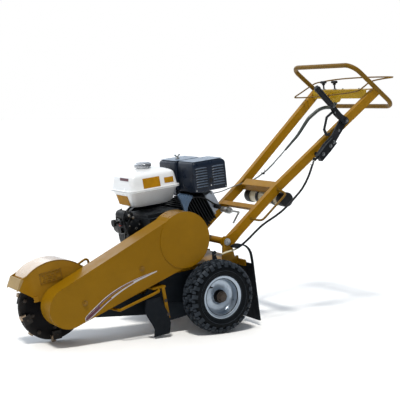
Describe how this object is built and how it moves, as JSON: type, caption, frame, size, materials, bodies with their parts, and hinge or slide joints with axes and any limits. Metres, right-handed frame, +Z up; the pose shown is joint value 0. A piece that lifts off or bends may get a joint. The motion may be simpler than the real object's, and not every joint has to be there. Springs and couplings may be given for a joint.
{
  "type": "stump grinder",
  "caption": "Walk-behind stump grinder: hooded cutter wheel on a belt-driven arm, single-cylinder engine, two knobby wheels and a tilting handle mast with brake lever and bail.",
  "frame": {"origin": "middle of the bounding box in plan, on the ground the machine stands on", "axes": "+X towards the operator's handle along the machine's length, +Y to the machine's right side across the track, +Z up"},
  "size_m": [1.8436, 0.57, 1.1657],
  "materials": {
    "gold_paint": "satin",
    "white_enamel": "gloss",
    "black_paint": "satin",
    "cast_iron": "rough cast",
    "alloy": "as cast",
    "steel": "turned",
    "zinc": "zinc plated",
    "black_plastic": "matte",
    "cream_plastic": "satin",
    "sheet_rubber": "matte",
    "tyre_rubber": "matte",
    "carbide_steel": "worn",
    "chrome_trim": "bright"
  },
  "bodies": {
    "frame": {"chassis": "gold_paint", "cutter_arm": "gold_paint", "hood": "gold_paint", "hood_handle": "gold_paint", "belt_guard": "gold_paint", "guard_backplate": "gold_paint", "guard_bolts": "zinc", "axle": "steel", "bearing_housings": "cast_iron", "belts": "sheet_rubber", "engine_block": "alloy", "cylinder": "black_paint", "rocker_cover": "alloy", "recoil_housing": "black_paint", "tank_lower": "white_enamel", "tank_upper": "white_enamel", "muffler": "steel", "muffler_guard": "black_paint", "air_cleaner": "black_plastic", "carburettor": "alloy", "starter_motor": "black_paint", "dipsticks": "black_plastic", "spark_plug": "black_plastic", "tie_down_rod": "gold_paint", "leg_flap": "sheet_rubber", "side_skirt": "sheet_rubber", "rear_flaps": "sheet_rubber", "pivot_shaft": "zinc"},
    "mast": {"mast": "gold_paint", "handlebar": "gold_paint", "guide_rod": "gold_paint", "canister": "cream_plastic", "canister_straps": "black_plastic", "control_panel": "gold_paint", "lever_bracket": "black_paint", "brake_cable": "black_plastic", "control_cables": "black_plastic", "clamp_barrel": "zinc"},
    "clamp": {"clamp_handle": "zinc"},
    "throttle": {"throttle_knob": "black_plastic"},
    "choke": {"choke_knob": "black_plastic"},
    "bail": {"bail": "gold_paint"},
    "lever": {"brake_lever": "black_paint"},
    "trigger": {"lever_trigger": "black_paint"},
    "brake": {"brake_arm": "black_paint"},
    "cap": {"fuel_cap": "chrome_trim"},
    "linkage": {"throttle_lever": "zinc"},
    "starter": {"recoil_handle": "black_plastic"},
    "near_wheel": {"near_tyre": "tyre_rubber", "near_rim": "zinc", "brake_drum": "cast_iron"},
    "far_wheel": {"far_tyre": "tyre_rubber", "far_rim": "zinc"},
    "cutter": {"cutter_shaft": "steel", "driven_pulley": "cast_iron", "cutter_disc": "black_paint", "cutter_teeth": "carbide_steel"},
    "crank": {"crankshaft": "steel", "clutch_drum": "cast_iron"}
  },
  "joints": [
    {"name": "near_wheel_spin", "type": "hinge", "parent": "frame", "child": "near_wheel", "pos_m": [-0.06604, -0.233, 0.1565], "axis": [0, 1, 0], "continuous": true},
    {"name": "far_wheel_spin", "type": "hinge", "parent": "frame", "child": "far_wheel", "pos_m": [-0.06604, 0.233, 0.1565], "axis": [0, 1, 0], "continuous": true},
    {"name": "cutter_spin", "type": "hinge", "parent": "frame", "child": "cutter", "pos_m": [-0.74552, 0, 0.15313], "axis": [0, 1, 0], "continuous": true},
    {"name": "crank_spin", "type": "hinge", "parent": "frame", "child": "crank", "pos_m": [-0.20721, 0, 0.40841], "axis": [0, 1, 0], "continuous": true},
    {"name": "mast_tilt", "type": "hinge", "parent": "frame", "child": "mast", "pos_m": [0.01926, 0, 0.37629], "axis": [0, 1, 0], "range_deg": [-16, 0], "deforming": ["brake_cable", "control_cables"]},
    {"name": "clamp_turn", "type": "hinge", "parent": "mast", "child": "clamp", "pos_m": [0.18502, 0.06, 0.48457], "axis": [0, 1, 0], "range_deg": [0, 40]},
    {"name": "throttle_pull", "type": "slide", "parent": "mast", "child": "throttle", "axis": [-0.1197, 0, 0.9928], "range_m": [0, 0.025]},
    {"name": "choke_pull", "type": "slide", "parent": "mast", "child": "choke", "axis": [-0.1197, 0, 0.9928], "range_m": [0, 0.025]},
    {"name": "governor_arm", "type": "hinge", "parent": "frame", "child": "linkage", "pos_m": [-0.10407, 0.1235, 0.5387], "axis": [0, 1, 0], "range_deg": [-20, 0]},
    {"name": "bail_lift", "type": "hinge", "parent": "mast", "child": "bail", "pos_m": [0.73272, 0, 1.01873], "axis": [0, 1, 0], "range_deg": [-8, 0]},
    {"name": "brake_pull", "type": "hinge", "parent": "mast", "child": "lever", "pos_m": [0.6159, -0.2315, 0.90018], "axis": [0, 1, 0], "range_deg": [0, 32]},
    {"name": "trigger_squeeze", "type": "hinge", "parent": "lever", "child": "trigger", "pos_m": [0.55036, -0.2315, 0.93845], "axis": [0, 1, 0], "range_deg": [0, 8], "stiffness_Nm_per_rad": 1, "springref_deg": -5.73},
    {"name": "brake_arm_swing", "type": "hinge", "parent": "frame", "child": "brake", "pos_m": [-0.02638, -0.1715, 0.26201], "axis": [0, 1, 0], "range_deg": [0, 1.5]},
    {"name": "cap_turn", "type": "hinge", "parent": "frame", "child": "cap", "pos_m": [-0.2604, 0.084, 0.69913], "axis": [-0.1197, 0, 0.9928], "range_deg": [0, 90]},
    {"name": "starter_pull", "type": "slide", "parent": "frame", "child": "starter", "axis": [-0.7299, 0, 0.6836], "range_m": [0, 0.12], "stiffness_N_per_m": 60, "springref_m": -0.05}
  ],
  "couplings": [
    {"joint": "crank_spin", "follows": "cutter_spin", "ratio": 1.16},
    {"joint": "governor_arm", "follows": "throttle_pull", "rad_per_m": -13.96},
    {"joint": "brake_arm_swing", "follows": "brake_pull", "ratio": 0.046875}
  ]
}
